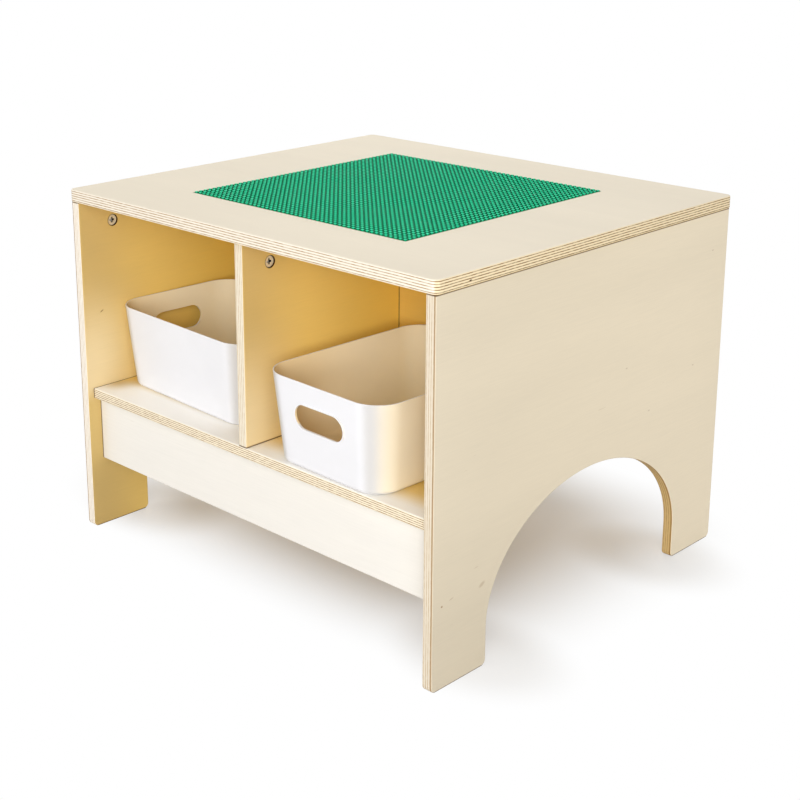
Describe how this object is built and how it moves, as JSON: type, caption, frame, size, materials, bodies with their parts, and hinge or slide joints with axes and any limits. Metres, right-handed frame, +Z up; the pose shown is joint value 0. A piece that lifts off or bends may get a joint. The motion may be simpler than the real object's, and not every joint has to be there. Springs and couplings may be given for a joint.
{
  "type": "play table",
  "caption": "Low plywood play table with a green studded building plate set in its top, arched side panels, open cubbies on a shelf and white storage bins that slide out.",
  "frame": {"origin": "middle of the table's footprint, on the floor", "axes": "+Z up, -Y out of the side with the bins, +X to the right as seen from that side"},
  "size_m": [0.6858, 0.6096, 0.5092],
  "materials": {
    "plywood": "clear satin lacquer on birch plywood",
    "plate_plastic": "moulded green plastic",
    "bin_plastic": "smooth white plastic",
    "zinc": "nickel-plated zinc",
    "bolt_steel": "zinc-plated steel",
    "beech": "bare beech"
  },
  "bodies": {
    "frame": {"table_top": "plywood", "side_panel_left": "plywood", "side_panel_right": "plywood", "shelf": "plywood", "spine_panel": "plywood", "divider_front": "plywood", "divider_rear": "plywood", "front_apron": "plywood", "rear_apron": "plywood", "stud_plate": "plate_plastic", "top_cam_locks": "zinc", "shelf_cam_locks": "zinc", "apron_cam_locks": "zinc", "top_cam_bolts": "bolt_steel", "shelf_cam_bolts": "bolt_steel", "apron_cam_bolts": "bolt_steel", "top_dowels": "beech", "shelf_dowels": "beech", "divider_dowels": "beech", "apron_dowels": "beech"},
    "left_bin": {"bin_left": "bin_plastic"},
    "right_bin": {"bin_right": "bin_plastic"}
  },
  "joints": [
    {"name": "bin_left_slide", "type": "slide", "parent": "frame", "child": "left_bin", "axis": [0, -1, 0], "range_m": [-0.036, 0.13]},
    {"name": "bin_right_slide", "type": "slide", "parent": "frame", "child": "right_bin", "axis": [0, -1, 0], "range_m": [-0.005, 0.125]}
  ]
}
